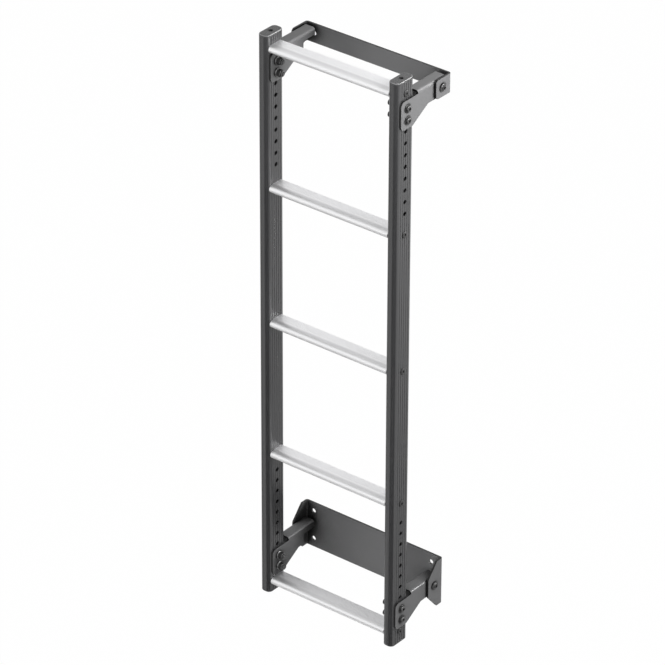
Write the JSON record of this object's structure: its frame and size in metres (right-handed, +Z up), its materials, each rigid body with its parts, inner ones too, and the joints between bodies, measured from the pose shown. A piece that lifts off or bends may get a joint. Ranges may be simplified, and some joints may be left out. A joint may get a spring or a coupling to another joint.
{
  "type": "van rear door ladder",
  "caption": "Narrow van door ladder: black hollow stiles with hole rows, ribbed silver rungs, and folded arms that carry tilting door plates at top and bottom.",
  "frame": {"origin": "middle of the lower door plate's back face, which lies on the door", "axes": "+Y out of the plate's back into the door, +Z up along the stiles, +X across the ladder"},
  "size_m": [0.3588, 0.1535, 1.256],
  "materials": {
    "stile_coat": "satin black anodised extrusion",
    "rung_anodised": "clear anodised, ribbed",
    "steel_coat": "matt charcoal black powder coat on folded steel",
    "cap_plastic": "moulded black plastic",
    "bolt_black": "black zinc"
  },
  "bodies": {
    "lower_plate": {"lower_door_plate": "steel_coat", "lower_left_pivot_bolt": "bolt_black", "lower_left_pivot_nut": "bolt_black", "lower_right_pivot_bolt": "bolt_black", "lower_right_pivot_nut": "bolt_black"},
    "ladder": {"left_stile": "stile_coat", "right_stile": "stile_coat", "upper_left_cap": "cap_plastic", "upper_right_cap": "cap_plastic", "lower_left_cap": "cap_plastic", "lower_right_cap": "cap_plastic", "rung_1": "rung_anodised", "rung_2": "rung_anodised", "rung_3": "rung_anodised", "rung_4": "rung_anodised", "rung_5": "rung_anodised", "upper_left_arm": "steel_coat", "upper_right_arm": "steel_coat", "lower_left_arm": "steel_coat", "lower_right_arm": "steel_coat"},
    "upper_plate": {"upper_door_plate": "steel_coat", "upper_left_pivot_bolt": "bolt_black", "upper_left_pivot_nut": "bolt_black", "upper_right_pivot_bolt": "bolt_black", "upper_right_pivot_nut": "bolt_black"}
  },
  "joints": [
    {"name": "ladder_tilt", "type": "hinge", "parent": "lower_plate", "child": "ladder", "pos_m": [0, -0.0275, 0], "axis": [1, 0, 0], "range_deg": [-15, 15]},
    {"name": "upper_plate_tilt", "type": "hinge", "parent": "ladder", "child": "upper_plate", "pos_m": [0, -0.0275, 1.115], "axis": [1, 0, 0], "range_deg": [-15, 15]}
  ]
}
